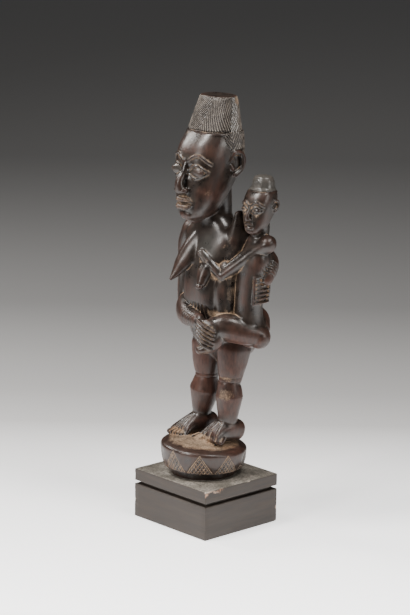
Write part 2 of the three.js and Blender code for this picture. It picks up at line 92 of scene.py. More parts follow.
def limb(stations, across=(1, 0, 0), power=2.0, ends=(1.0, 1.0), blunt=1.0, sides=28, level=False,
         pitch=1.5, straight=False):
    """A ball drawn out along stations of [x, y, z, half-thickness along `across`, the other half].

    A power of 2 gives a round section, less a keeled one and more a squarer one."""
    rows = np.array([(*s, s[3]) if len(s) == 4 else s for s in stations], float)
    knots = np.concatenate([[0], np.cumsum(np.linalg.norm(np.diff(rows[:, :3], axis=0), axis=1))])
    length = knots[-1]
    middle = max(6, round(length / pitch))
    cap = 6
    rings = middle + 2 * cap
    deselect()
    bpy.ops.mesh.primitive_uv_sphere_add(segments=sides, ring_count=rings, radius=1)
    piece = bpy.context.object
    unit_ball = points_of(piece)
    turn = np.arctan2(unit_ball[:, 1], unit_ball[:, 0])
    ring = (1 - np.arccos(np.clip(unit_ball[:, 2], -1, 1)) / math.pi) * rings
    spots = np.clip((ring - cap) / middle, 0, 1) * length
    here = through(knots, rows, spots, straight)
    if level:
        forward = np.tile([0.0, 0.0, 1.0], (len(here), 1))
    else:
        ahead = through(knots, rows, np.clip(spots + 0.02 * length, 0, length))
        behind = through(knots, rows, np.clip(spots - 0.02 * length, 0, length))
        forward = unit(ahead[:, :3] - behind[:, :3])
    side = np.array(across, float)
    side = unit(side - (forward @ side)[:, None] * forward)
    other = np.cross(forward, side)
    past_start = np.clip(1 - ring / cap, 0, 1)
    past_end = np.clip((ring - rings + cap) / cap, 0, 1)
    lean = (past_start + past_end) * math.pi / 2
    smaller = np.minimum(here[:, 3], here[:, 4])
    way = past_end.astype(bool) * ends[1] - past_start.astype(bool) * ends[0]
    rise = np.sin(lean) ** blunt * smaller * way
    shrink = np.maximum(np.cos(lean), 0) ** blunt
    c, s = np.cos(turn), np.sin(turn)
    reach = (np.abs(c) ** power + np.abs(s) ** power) ** (-1 / power) * shrink
    spot = here[:, :3] + forward * rise[:, None]
    spot += side * (c * reach * here[:, 3])[:, None] + other * (s * reach * here[:, 4])[:, None]
    move_points(piece, spot)
    return piece


def stack(rows, **shape):
    """Level rings from rows of [height, front, back, half-width] and, at will, a sideways shift."""
    stations = []
    for height, front, back, half, *shift in rows:
        stations.append((shift[0] if shift else 0, (front + back) / 2, height, half, (back - front) / 2))
    return limb(stations, level=True, **{"sides": 64, "power": 2.3, **shape})


def ball(x, y, z, rx, ry, rz):
    deselect()
    bpy.ops.mesh.primitive_uv_sphere_add(segments=28, ring_count=18, radius=1, location=(x, y, z),
                                         scale=(rx, ry, rz))
    bpy.ops.object.transform_apply(location=True, rotation=True, scale=True)
    return bpy.context.object


def cord_line(points, half, **shape):
    """A thin raised line that lies along points on a surface."""
    return limb([(*p, half) for p in points], **{"sides": 10, "pitch": 0.8, **shape})


# The head and its face, laid out in shares of the face's height and used again, smaller, for the child.
CHIN = 169.5
HAIRLINE = 233.0
FACE = HAIRLINE - CHIN
BROWS = CHIN + 0.67 * FACE
EYES = CHIN + 0.57 * FACE
NOSE = CHIN + 0.34 * FACE
MOUTH = CHIN + 0.21 * FACE
EYE_OUT = 9.6
HEAD_POWER = 2.5
HEAD_ROWS = np.array([
    (169.0, -20.6, -8, 5), (171.5, -24, -3, 9.5), (176, -25.6, 2, 12.8), (182, -26, 6, 15.6),
    (189, -26, 10.6, 17.8), (196, -25.8, 15.4, 19.2), (203, -25.6, 19, 20.2), (210, -25.4, 21.4, 20.8),
    (217, -24.4, 22.6, 20.9), (223, -21.6, 22.6, 20.6), (228, -18, 22, 20.1), (233, -14, 21, 19.4)], float)


def face_at(x, z, out=0.0):
    """The point of the head's front at x and z, moved out towards the viewer."""
    _, front, back, half = through(HEAD_ROWS[:, 0], HEAD_ROWS, np.array([float(z)]))[0]
    bulge = (1 - min(abs(x) / half, 1) ** HEAD_POWER) ** (1 / HEAD_POWER)
    return (x, (front + back) / 2 - (back - front) / 2 * bulge - out, z)


def arch(side, inner, outer, z, rise, drop, out, count=9):
    steps = [i / (count - 1) for i in range(count)]
    return [face_at(side * (inner + (outer - inner) * t), z + rise * math.sin(math.pi * t) - drop * t, out)
            for t in steps]


def skull():
    piece = stack(HEAD_ROWS, power=HEAD_POWER, sides=96, pitch=1.0, ends=(0.5, 0.2))
    points = points_of(piece)
    for side in (1, -1):
        x, y, z = face_at(side * EYE_OUT, EYES, 1.4)
        inside = 1 - ((points[:, 0] - x) / 8.4) ** 2 - ((points[:, 2] - z) / 6.4) ** 2
        hollow = y + 2.5 * np.sqrt(np.maximum(inside, 0))
        sunk = (inside > 0) & (points[:, 1] < hollow)
        points[sunk, 1] = hollow[sunk]
    move_points(piece, points)
    return piece


LID_RISES = (4.8, -4.4)


def lid(side, rise, count=9):
    return arch(side, 2.9, 17.2, EYES, rise, 0, 0.2, count)


def brow(side, count=11):
    return arch(side, 2.8, 18.2, BROWS + 1, 5.4, 1.6, 0.1, count)


def face(bold=1.0):
    parts = [skull()]
    for side in (1, -1):
        x, y, z = face_at(side * EYE_OUT, EYES, -1.5)
        parts.append(ball(x, y, z, 6.8, 2.9, 3.8))
        for rise in LID_RISES:
            parts.append(cord_line(lid(side, rise), 0.75 * bold))
        parts.append(cord_line(brow(side), 0.9 * bold))
    tip = face_at(0, NOSE, 6.4)[1]
    parts.append(limb([(*face_at(0, BROWS + 1, -1.2), 3, 2.4), (*face_at(0, EYES, 0.5), 2.9, 2.6),
                       (0, tip + 1.8, NOSE + 6, 3.3, 3.2), (0, tip + 2.4, NOSE + 1.8, 4, 3.2)]))
    for side in (1, -1):
        parts.append(ball(side * 3.5, tip + 3.9, NOSE + 1.2, 2.6, 3.3, 2.2))
    for z, rise, half in ((MOUTH + 1.1, 1.7, 1.8), (MOUTH - 1.1, -1.9, 1.9)):
        corner_height = z * 0.5 + MOUTH * 0.5
        lip = [(*face_at(-8, corner_height, -0.6), 0.6, 0.6), (*face_at(-3.6, z + rise, 1.9), half, half),
               (*face_at(0, z + rise * 0.8, 2.3), half, half), (*face_at(3.6, z + rise, 1.9), half, half),
               (*face_at(8, corner_height, -0.6), 0.6, 0.6)]
        parts.append(limb(lip, across=(0, 0, 1), pitch=0.8))
    parts.append(ball(0, face_at(0, CHIN + 5)[1] + 4, CHIN + 4.6, 7.6, 5.1, 4.6))
    return parts


def ears():
    parts = []
    for side in (1, -1):
        x = side * 20.4
        parts.append(ball(x - side * 1.4, 5.6, 211, 2.2, 6.2, 7.2))
        parts.append(limb([(x, -0.5, 213, 1.4, 1.4), (x + side * 1.4, 3.2, 218.6, 1.6, 1.8),
                           (x + side * 2.2, 9, 217.4, 1.5, 1.9), (x + side * 2.4, 11, 212, 1.4, 2),
                           (x + side * 1.6, 9.4, 206, 1.4, 1.9), (x + side * 0.6, 4.6, 202.6, 2, 2.4)],
                          sides=14))
        parts.append(limb([(x, 0.6, 210, 1.2, 1.6), (x + side * 0.8, 2.2, 206.6, 1.4, 2)], sides=12))
    return parts


# The mother's hair: a tall mitre with a flat top, and the cap of hair over the back of the head.
MITRE_POWER = 2.5
MITRE_ROWS = np.array([
    (224, -12, 22.6, 20.6, 0), (233, -14, 20.8, 19.6, 0), (249, -7.2, 19.6, 16.3, -0.4),
    (256.4, -4, 18.6, 14.6, -0.6), (257.4, -3.2, 18, 14.1, -0.6)], float)


def mitre_at(turn, z):
    _, front, back, half, shift = through(MITRE_ROWS[:, 0], MITRE_ROWS, np.array([float(z)]), True)[0]
    s, c = math.sin(turn), -math.cos(turn)
    reach = (abs(s) ** MITRE_POWER + abs(c) ** MITRE_POWER) ** (-1 / MITRE_POWER)
    return (shift + s * reach * half, (front + back) / 2 + c * reach * (back - front) / 2, z)


def hair_cap():
    """The head's own rows a little fuller, pressed back to the skull before the temple line."""
    rows = HEAD_ROWS[5:].copy()
    rows[:, 1] -= 0.9
    rows[:, 2:4] += 0.9
    piece = stack(rows, power=HEAD_POWER, sides=96, pitch=1.0, ends=(0.3, 0.1))
    points = points_of(piece)
    edge = np.interp(points[:, 2], TEMPLE_HEIGHTS, TEMPLE_DEPTHS)
    before = points[:, 1] < edge
    middle = np.array([0.0, 2.0])
    points[before, :2] = middle + (points[before, :2] - middle) * 0.88
    move_points(piece, points)
    return piece


def hair():
    mitre = stack(MITRE_ROWS, power=MITRE_POWER, sides=96, pitch=0.8, ends=(0.2, 0.03), blunt=0.25,
                  straight=True)
    steps = [k / 10 * math.radians(80) for k in range(-10, 11)]
    edge = cord_line([mitre_at(turn, HAIRLINE - 1.2) for turn in steps], 0.9)
    return [mitre, hair_cap(), edge]


# The mother's trunk, shoulders, breasts and arms.
TRUNK_ROWS = [
    (60, 9, 24, 17), (67, 4, 29.5, 22.4), (77, -3, 32, 24.6), (86, -8.6, 29.5, 23.6), (96, -12.4, 24.5, 22),
    (107, -15, 21.5, 21), (119, -15.2, 19.8, 20.4), (132, -13.4, 19, 20.4), (144, -11.4, 19, 22.4),
    (153, -8.8, 18.8, 25.6), (159, -6.8, 18, 24.6), (164, -5.6, 17, 18.6), (170, -5.4, 17, 12.6)]


def trunk():
    neck = limb([(0, 6, 158, 13, 11), (0, 6, 172, 11.8, 11.6), (0, 4, 190, 12, 13)], sides=40)
    peak = limb([(17, 6, 142, 12, 10), (21, 6.2, 155, 8.6, 9), (24.2, 5.6, 167, 4.6, 6),
                 (25.2, 5, 174.5, 2.4, 3.8)])
    seat = [ball(side * 11.5, 22.5, 76, 12.4, 12, 13.5) for side in (1, -1)]
    flank = limb([(18.5, 2, 98, 8, 11), (18.6, 1, 114, 8, 11.4), (20, 1, 134, 7, 9)], sides=36)
    return [stack(TRUNK_ROWS, ends=(0.5, 0.4)), neck, peak, flank] + seat


def breasts():
    right = limb([(-5.4, 2.6, 156, 10, 9), (-9.4, -5.6, 146, 10, 8.4), (-12.8, -14, 135, 7.4, 6),
                  (-14.6, -20.6, 126.6, 3.2, 2.8), (-15.2, -23.8, 123.4, 1.2, 1.2)], power=1.65, sides=40)
    left = limb([(8.6, 0, 142, 8, 7), (8.6, -9.4, 134.6, 6.2, 5.6), (9, -13.8, 128.4, 5, 4.8),
                 (9.4, -16, 124, 3.6, 3.8)])
    nipple = ball(9.6, -18.4, 121.4, 2.9, 2.7, 2.3)
    return [right, left, nipple]


def right_arm():
    upper = limb([(-23, 6, 155, 9.4, 9), (-28.6, 6.2, 144, 8.2, 8.2), (-29.2, 6.4, 128, 7.4, 7.6),
                  (-29, 5.6, 110, 7.2, 7.8), (-26.8, 3.8, 99, 7, 7.6)])
    lower = limb([(-24.8, 2.8, 99, 9.4, 7.8), (-18.8, -4.4, 98.6, 10.6, 8), (-10, -11.6, 97.2, 9.4, 7.6),
                  (1, -17, 96.4, 6.8, 6.4), (9, -19.6, 96.4, 6, 5.4)], across=(0, 0, 1), sides=32)
    return [upper, lower]


def right_hand():
    """A flat hand on the child's knee, its fingers left standing as slanting ridges."""
    up = (0, 0, 1)
    slab = limb([(8, -19.4, 95.4, 5.8, 4.6), (13.6, -19.4, 90.6, 9.2, 3), (21, -18, 88.4, 9.4, 2.6),
                 (25.6, -16, 87.6, 8.2, 2.4)], across=up, power=3)
    ridges = [limb([(10.6 + 0.5 * i, -22.4, 99 - 3.2 * i, 1.0, 1.5), (18, -22, 95.4 - 3.1 * i, 1.1, 1.6),
                    (26.6 - 0.5 * i, -18.6, 91.4 - 2.9 * i, 1.0, 1.4)], across=up, sides=14)
              for i in range(6)]
    return [slab] + ridges


def left_arm():
    """The arm comes round behind the child, and its hand lies on the flank like a ladder of fingers."""
    up = (0, 0, 1)
    arm = limb([(23, 9, 158, 8, 8), (26, 17, 150, 7.6, 8), (32, 24, 143, 7, 7.6), (40, 22.4, 139.6, 6, 6.6),
                (46.2, 16.8, 134.6, 5.4, 5.6), (46.6, 12.8, 129, 4.6, 5)], across=up)
    slab = limb([(43.6, 9.8, 130, 2.6, 6.4), (43.4, 9.6, 120, 2.6, 6.9), (42.8, 9.4, 111.4, 2.4, 6.4)],
                power=4, ends=(0.5, 0.5))
    bars = [limb([(45.6, 16, 127.6 - 3.1 * i, 0.8, 1.2), (46.4, 9.6, 127.4 - 3.1 * i, 0.8, 1.3),
                  (45, 3.4, 127.2 - 3.1 * i, 0.8, 1.2)], across=up, sides=12) for i in range(6)]
    edges = [cord_line([(45, 2.9, 129.4), (45.2, 2.7, 120), (44.4, 2.9, 111)], 1.0),
             cord_line([(46, 16.2, 130), (46, 16.6, 121), (45, 16.2, 113)], 1.0)]
    thumb = limb([(44.6, 3.4, 131, 1.3), (46.4, 9, 131.6, 1.7), (47, 15, 130.6, 1.8)], across=up, sides=14)
    return [arm, slab, thumb] + bars + edges


# The child astride the hip, with one leg before the mother and one behind her.
def child():
    up = {"across": (0, 0, 1)}
    torso = limb([(34.4, 11.6, 86, 10, 10.4), (32.6, 9.6, 97, 10, 10.4), (33, 9, 108, 9.6, 9.6),
                  (34.6, 9.6, 126, 10.6, 10), (37.4, 11, 144, 11.6, 9.6), (38.6, 12, 154, 8.4, 8)],
                 power=2.4, sides=36)
    neck = limb([(39, 12.6, 152, 7), (39.6, 13, 168, 6.6)])
    seat = ball(40, 13.4, 84.4, 8.4, 8.4, 8.8)
    upper_arm = limb([(47.6, 12, 155, 7, 7.2), (40, 7.6, 149, 6.4, 6), (30, 1, 139.4, 5.4, 5.4),
                      (21, -5.6, 130.6, 4.6, 4.8)], power=1.6, **up)
    fore_arm = limb([(20.2, -6.4, 129.6, 4.4, 4.4), (12, -10, 137, 3.9, 3.6), (4.4, -12, 144.5, 3.6, 3.2)],
                    power=1.6, **up)
    thigh = limb([(37.8, 11.8, 86.6, 8.6, 9.2), (33, 3, 89.2, 9.8, 9.6), (24.5, -8, 92.4, 9.8, 9),
                  (20.4, -12, 92, 8.2, 8)], power=2.1, **up)
    shin = limb([(22, -12, 88, 7, 7.2), (21.4, -14.4, 82, 6.6, 6), (19.6, -15.8, 78, 4.8, 4.6),
                 (18, -17.4, 76.6, 4, 4)])
    foot = limb([(20, -16.4, 77.4, 3.4, 3.8), (16.8, -19.2, 76.4, 3.8, 4.8), (14.4, -21.2, 75.6, 3.2, 4.4)],
                **up)
    far_thigh = limb([(34.4, 19, 89.6, 8.8, 7.8), (26, 26.6, 93, 8.8, 7.4), (15, 30, 94, 8, 6.8),
                      (8, 30.4, 91, 6.6, 6)], **up)
    far_shin = limb([(8, 30.4, 90, 6, 5.4), (7, 31.6, 82, 4.8, 4.6), (4, 32.6, 75, 3.2, 4.2)])
    far_arm = limb([(29, 15, 151, 6.4, 6), (24, 20, 142, 5, 4.6), (15, 22.6, 137, 4.2, 4),
                    (8, 22.6, 137, 3.2, 3.4)], **up)
    return [torso, neck, seat, upper_arm, fore_arm, thigh, shin, foot, far_thigh, far_shin, far_arm]


CHILD_HEAD = (Matrix.Translation((39.4, 12.9, 162.6)) @ Matrix.Rotation(math.radians(CHILD_TURN), 4, "Z")
              @ Matrix.Diagonal((0.52, 0.51, 0.49, 1)) @ Matrix.Translation((0, 0, -CHIN)))


def child_head():
    cap = stack([(231, -14.4, 20.6, 18.6), (233.6, -13.2, 20.4, 17.8), (236, -10.4, 20, 16.6),
                 (240, -9, 19.6, 15.8), (247, -8, 18.4, 15), (250, -7, 17.2, 13.4)],
                power=2.2, ends=(0.1, 0.34))
    crest = cord_line([(-6, -8, 237), (-6, -7, 243), (0, -7.4, 247), (6, -7, 243), (6, -8, 237)], 1.5)
    parts = face(1.7) + ears() + [cap, crest]
    for part in parts:
        part.data.transform(CHILD_HEAD)
    return parts


# Legs and feet.
LEFT_LEG = [(13, 8.6, 6, 7, 7), (13.6, 8.4, 17, 7, 7), (14.6, 8.7, 35.6, 10.2, 10.2),
            (14.2, 8.8, 46.4, 8.2, 8.2), (14.2, 9.4, 48, 8.6, 8.6), (14.6, 11, 60, 10.8, 11.4),
            (14.8, 12.2, 71, 12.2, 13.6), (14.8, 14, 80, 10.6, 12)]
RIGHT_LEG = [(-14.6, 8.4, 6, 7, 7.4), (-14.4, 8.4, 18, 7, 7.2), (-12.2, 9, 36, 11.8, 11),
             (-11, 9.4, 45.4, 8.6, 8.4), (-11, 9.8, 47, 9, 8.8), (-11.8, 11, 58, 11.2, 11.4),
             (-12.4, 12.4, 70, 12.2, 13.4), (-12.4, 14, 80, 10.6, 12)]
FOOT_WIDTHS = (7.4, 8.8, 10.2, 11.8, 12.2)
FOOT_THICKNESS = (7.8, 9, 6.8, 4, 2.6)
# Each foot's middle line from heel to toes, then its little and big toes' tips.
LEFT_FOOT = (((15, 16.4, 8.6), (13, 9, 10), (10, 1, 8), (8.4, -4.6, 5), (8.2, -6.6, 3.6)),
             (20.4, -5.2, 3), (-3.6, -9.2, 3.6))
RIGHT_FOOT = (((-13.6, 15.6, 8.6), (-14.2, 8, 10), (-17.6, -0.6, 7.6), (-20, -7, 4.8), (-20.6, -9.4, 3.4)),
              (-28.4, -11.6, 2.8), (-13.2, -13, 3.8))


def toes(spots, little, big):
    """The five toes' tips and the roots they run back to."""
    little, big, instep = Vector(little), Vector(big), Vector(spots[1])
    tips = [little.lerp(big, i / 4) for i in range(5)]
    return [(tip, tip.lerp(instep, 0.5)) for tip in tips]


def foot(spots, little, big):
    """A broad steep wedge of a foot, scalloped at the front by its five toes."""
    up = {"across": (0, 0, 1)}
    stations = [(*spot, high, wide) for spot, high, wide in zip(spots, FOOT_THICKNESS, FOOT_WIDTHS)]
    parts = [limb(stations, power=2.3, sides=48, ends=(0.8, 0.6), **up)]
    for tip, root in toes(spots, little, big):
        toe = [(*root, 2.6, 2.5), (*tip.lerp(root, 0.4), 2.5, 2.5), (*tip, 1.9, 2.3)]
        parts.append(limb(toe, sides=16, **up))
    return parts


def feet():
    return foot(*LEFT_FOOT) + foot(*RIGHT_FOOT)


# The round base: its top falls away to the figure's left.
BASE_RADIUS = 32.0
UNDERSIDE_RADIUS = BASE_RADIUS - 8
BAND_RADIUS = BASE_RADIUS - 0.6
BAND_LOW = 6.0
BAND_HEIGHT = 15.5
BAND_HIGH = BAND_LOW + BAND_HEIGHT
BASE_HEIGHT = 24.0
TOP_FALL = 4.2
TOP_FALL_TOWARDS = math.radians(137)
BASE_SHIFT = (-1.4, -1.4)
BAND_TRIANGLES = 9


def tipped(points):
    rise = np.clip(points[:, 2] / BASE_HEIGHT, 0, 1)
    outward = points[:, 0] * math.sin(TOP_FALL_TOWARDS) - points[:, 1] * math.cos(TOP_FALL_TOWARDS)
    points[:, 2] -= TOP_FALL * rise * outward / (2 * BASE_RADIUS)
    points[:, 0] += BASE_SHIFT[0]
    points[:, 1] += BASE_SHIFT[1]
    return points


def round_base():
    deselect()
    bpy.ops.mesh.primitive_cylinder_add(vertices=128, radius=UNDERSIDE_RADIUS, depth=BAND_LOW,
                                        location=(0, 0, BAND_LOW / 2), end_fill_type="NGON")
    piece = bpy.context.object
    bpy.ops.object.transform_apply(location=True, rotation=False, scale=False)
    bpy.ops.object.mode_set(mode="EDIT")
    bpy.ops.mesh.select_mode(type="FACE")
    bpy.ops.mesh.select_all(action="DESELECT")
    bpy.ops.object.mode_set(mode="OBJECT")
    for polygon in piece.data.polygons:
        polygon.select = polygon.normal.z > 0.9
    bpy.ops.object.mode_set(mode="EDIT")
    radius, height = UNDERSIDE_RADIUS, BAND_LOW
    steps = ((BAND_RADIUS - 1.6, BAND_LOW), (BAND_RADIUS, BAND_LOW + 6.2),
             (BAND_RADIUS + 0.6, BAND_HIGH - 1.6), (BAND_RADIUS + 0.2, BAND_HIGH - 0.3),
             (BAND_RADIUS - 1, BAND_HIGH + 0.7), (BAND_RADIUS - 3.2, BAND_HIGH + 1.7),
             (BAND_RADIUS - 7.4, BASE_HEIGHT + 0.6), (14, BASE_HEIGHT + 2.8), (0.4, BASE_HEIGHT + 3.6))
    for next_radius, next_height in steps:
        bpy.ops.mesh.extrude_region_move(TRANSFORM_OT_translate={"value": (0, 0, next_height - height)})
        grow = next_radius / radius
        bpy.ops.transform.resize(value=(grow, grow, 1), center_override=(0, 0, next_height))
        radius, height = next_radius, next_height
    bpy.ops.object.mode_set(mode="OBJECT")
    move_points(piece, tipped(points_of(piece)))
    return piece


def carve_figure():
    legs = [limb(rows, sides=40, ends=(0, 0), straight=True) for rows in (LEFT_LEG, RIGHT_LEG)]
    carving = face() + ears() + hair() + trunk() + breasts() + right_arm() + right_hand() + left_arm()
    carving += child() + child_head() + legs + feet()
    for part in carving:
        part.data.transform(Matrix.Translation((0, 0, CARVING_FOOT)))
    base = round_base()
    base.data.transform(Matrix.Translation((0, 0, BASE_FOOT)))
    deselect()
    for part in carving:
        part.select_set(True)
    base.select_set(True)
    bpy.context.view_layer.objects.active = base
    bpy.ops.object.join()
    figure = bpy.context.object
    figure.name = "carved_figure"
    figure.data.name = "carved_figure"
    figure.data.transform(Matrix.Scale(mm, 4))
    remesh = figure.modifiers.new("one_block", "REMESH")
    remesh.mode = "VOXEL"
    remesh.voxel_size = BLOCK_GRAIN * mm
    bpy.ops.object.modifier_apply(modifier=remesh.name)
    smooth = figure.modifiers.new("rubbed", "SMOOTH")
    smooth.factor = 0.5
    smooth.iterations = 2
    bpy.ops.object.modifier_apply(modifier=smooth.name)
    return figure


def in_carving(points):
    """A piece's points in the carving's own millimetres, counted from the base's top."""
    return points / mm - np.array([0, 0, CARVING_FOOT])


def edges_of(piece):
    ends = np.empty(len(piece.data.edges) * 2, np.int32)
    piece.data.edges.foreach_get("vertices", ends)
    return ends.reshape(-1, 2)


def eased_over_neighbours(values, ends, count, times):
    touching = np.maximum(np.bincount(ends.ravel(), minlength=count), 1)
    for _ in range(times):
        total = np.zeros_like(values)
        for axis in range(values.shape[1]):
            total[:, axis] = np.bincount(ends[:, 0], weights=values[ends[:, 1], axis], minlength=count)
            total[:, axis] += np.bincount(ends[:, 1], weights=values[ends[:, 0], axis], minlength=count)
        values = 0.4 * values + 0.6 * total / touching[:, None]
    return values


def near(p, spot, reach):
    """1 at a spot, falling to 0 at its reach along each axis."""
    return np.clip(1 - np.linalg.norm((p - np.array(spot)) / np.array(reach), axis=1), 0, 1)


# Places where the knife ran one form into the next, each with its reach along the three axes.
MELTED_PLACES = [
    ((-4, -8, 153), (14, 14, 12)), ((-8, -12, 142), (10, 10, 10)), ((18, 0, 152), (14, 14, 16)),
    ((0, 4, 166), (22, 22, 12)), ((9, -11, 138), (9, 9, 9)), ((15, 4, 77), (17, 18, 9)),
    ((-13, 4, 74), (16, 18, 10)), ((2, 0, 68), (12, 16, 12)), ((39, 12, 158), (9, 9, 6)),
    ((-26, 2, 150), (10, 12, 14)), ((12, 4, 16), (12, 12, 6)), ((-14, 4, 16), (12, 12, 6)),
    ((37, 2, 96), (12, 12, 8)), ((18, -9, 116), (9, 9, 24)), ((-18, -8, 106), (10, 10, 6)),
    ((14, 0, 164), (24, 20, 17)), ((0, -26, 201), (9, 10, 12)), ((9, -24, 197), (8, 8, 6)),
    ((-9, -24, 197), (8, 8, 6)), ((0, -22, 214), (7, 8, 8))]


def melt_joins(piece):
    p = points_of(piece)
    carved = in_carving(p)
    weight = np.zeros(len(p))
    for spot, reach in MELTED_PLACES:
        weight = np.maximum(weight, between(0, 0.6, near(carved, spot, reach)))
    eased = eased_over_neighbours(p, edges_of(piece), len(p), 40)
    move_points(piece, p + weight[:, None] * (eased - p))


def normals_of(piece):
    flat = np.empty(len(piece.data.vertices) * 3, np.float32)
    piece.data.vertex_normals.foreach_get("vector", flat)
    return flat.reshape(-1, 3).astype(float)


def lattice_noise(points, size, seed):
    """Smooth noise from -1 to 1 in lumps of about `size`, the same on every run."""
    values = np.random.default_rng(seed).uniform(-1, 1, (48, 48, 48))
    spot = points / size
    cell = np.floor(spot).astype(int)
    t = spot - cell
    t = t * t * (3 - 2 * t)
    total = np.zeros(len(points))
    for corner in np.ndindex(2, 2, 2):
        corner = np.array(corner)
        share = np.prod(np.where(corner, t, 1 - t), axis=1)
        i, j, k = ((cell + corner) % 48).T
        total += share * values[i, j, k]
    return total


def notch(distance, half):
    """1 at the middle of a cut and 0 at its edges."""
    return np.clip(1 - np.abs(distance) / half, 0, 1)


# The cuts, each a function of points in the carving's own millimetres: how deep at each point, from 0 to 1.
TEMPLE_HEIGHTS = [196, 199, 200, 210, 217, 225, 233]
TEMPLE_DEPTHS = [24, 22, 14, 5, 2, -4, -5]
STROKE_DROP = 42.0
STROKE_PITCH = 3.1


def hair_place(p):
    """Each point's turn about the head, how far across its quarter of the hair it is, and if it has hair."""
    rows = through(MITRE_ROWS[:, 0], MITRE_ROWS, np.clip(p[:, 2], 224, 257), True)
    x, y = p[:, 0] - rows[:, 4], p[:, 1] - (rows[:, 1] + rows[:, 2]) / 2
    turn = np.arctan2(x, -y)
    up_mitre = np.clip((p[:, 2] - HAIRLINE) / 22, 0, 1)
    seam = math.radians(24) * up_mitre
    side = np.radians(82 + 8 * up_mitre)
    front = np.where(turn > seam, (turn - seam) / (side - seam), (seam - turn) / (side + seam))
    across = np.where(np.abs(turn) < side, front, (math.pi - np.abs(turn)) / (math.pi - side))
    behind = p[:, 1] > np.interp(p[:, 2], TEMPLE_HEIGHTS, TEMPLE_DEPTHS) + 0.6
    reach = np.hypot(x, y)
    ear = (np.abs(p[:, 0]) > 19.4) & (p[:, 1] < 13.4) & (p[:, 2] > 199) & (p[:, 2] < 220.6)
    crown = (p[:, 2] > HAIRLINE + 1) & (reach < 30)
    cap = (p[:, 2] > 199) & (p[:, 2] <= HAIRLINE + 1) & behind & (reach > 13) & (reach < 30) & ~ear
    return turn, across, crown | cap


def hair_strokes(p):
    _, across, on_hair = hair_place(p)
    phase = (p[:, 2] + STROKE_DROP * across) / STROKE_PITCH
    away = np.abs(phase - np.round(phase)) * STROKE_PITCH * 0.52
    return np.where(on_hair, between(0.78, 0.15, away), 0)


def hairline_cut(p):
    turn = hair_place(p)[0]
    forward = (np.hypot(p[:, 0], p[:, 1]) < 30) & (np.abs(turn) < math.radians(84))
    return np.where(forward, notch(p[:, 2] - HAIRLINE - 0.7, 0.95), 0)


def to_child_head(p):
    back = np.array(CHILD_HEAD.inverted())
    return p @ back[:3, :3].T + back[:3, 3]


def cap_rim(p):
    q = to_child_head(p)
    on_head = (np.hypot(q[:, 0], q[:, 1] - 3) < 26) & (q[:, 2] > 225)
    return np.where(on_head, notch(q[:, 2] - HAIRLINE + 0.4, 1.5), 0)


def rings_round(p, start, end, spots, reach, half):
    """Cuts right round a limb between two points, at shares of the way along it."""
    start, end = np.array(start, float), np.array(end, float)
    length = np.linalg.norm(end - start)
    along = (end - start) / length
    s = (p - start) @ along
    away = np.linalg.norm(p - start - s[:, None] * along, axis=1)
    deep = np.zeros(len(p))
    for spot in spots:
        deep = np.maximum(deep, notch(s - spot * length, half))
    return np.where(away < reach, deep, 0)


def bracelets(p):
    wrist_spots, hip_wrist_spots = (0.08, 0.24, 0.4, 0.56, 0.72, 0.88), (0.25, 0.42, 0.58, 0.74, 0.9)
    wrist = rings_round(p, (-5, -14.6, 96), (11, -20.6, 96.4), wrist_spots, 11.5, 0.8)
    hip_wrist = rings_round(p, (41, 22, 140), (46.6, 12, 130), hip_wrist_spots, 8.5, 0.6)
    in_front = p[:, 1] < -3
    return np.maximum(np.where(in_front, wrist, 0), np.where(p[:, 0] > 41, hip_wrist, 0))


def knee_lines(p):
    left = rings_round(p, (14.2, 9, 40), (14.2, 9, 56), (0.46, 0.66), 13, 0.6)
    right = rings_round(p, (-11, 9.4, 38), (-11, 9.4, 56), (0.46, 0.6), 13, 0.6)
    return np.where((p[:, 1] < 12) & (p[:, 2] < 60), np.maximum(left, right), 0)


def toe_combs(p):
    """Cuts between neighbouring toes, running back up the foot."""
    deep = np.zeros(len(p))
    for shape in (LEFT_FOOT, RIGHT_FOOT):
        for (tip, root), (next_tip, next_root) in zip(toes(*shape)[:-1], toes(*shape)[1:]):
            start, end = np.array((tip + next_tip) / 2)[:2], np.array((root + next_root) / 2)[:2]
            end = start + (end - start) * 1.15
            t = np.clip((p[:, :2] - start) @ (end - start) / ((end - start) @ (end - start)), -0.3, 1)
            away = np.linalg.norm(p[:, :2] - start - t[:, None] * (end - start), axis=1)
            back = np.clip(t, 0, 1)
            deep = np.maximum(deep, notch(away, 0.9 - 0.45 * back) * (1 - 0.5 * back))
    return np.where((p[:, 2] < 16) & (p[:, 2] > 0), deep, 0)


BAND_START = 42          # degrees round from the front to the middle of one triangle
HATCH = 2.4              # space between the lines that cross a triangle


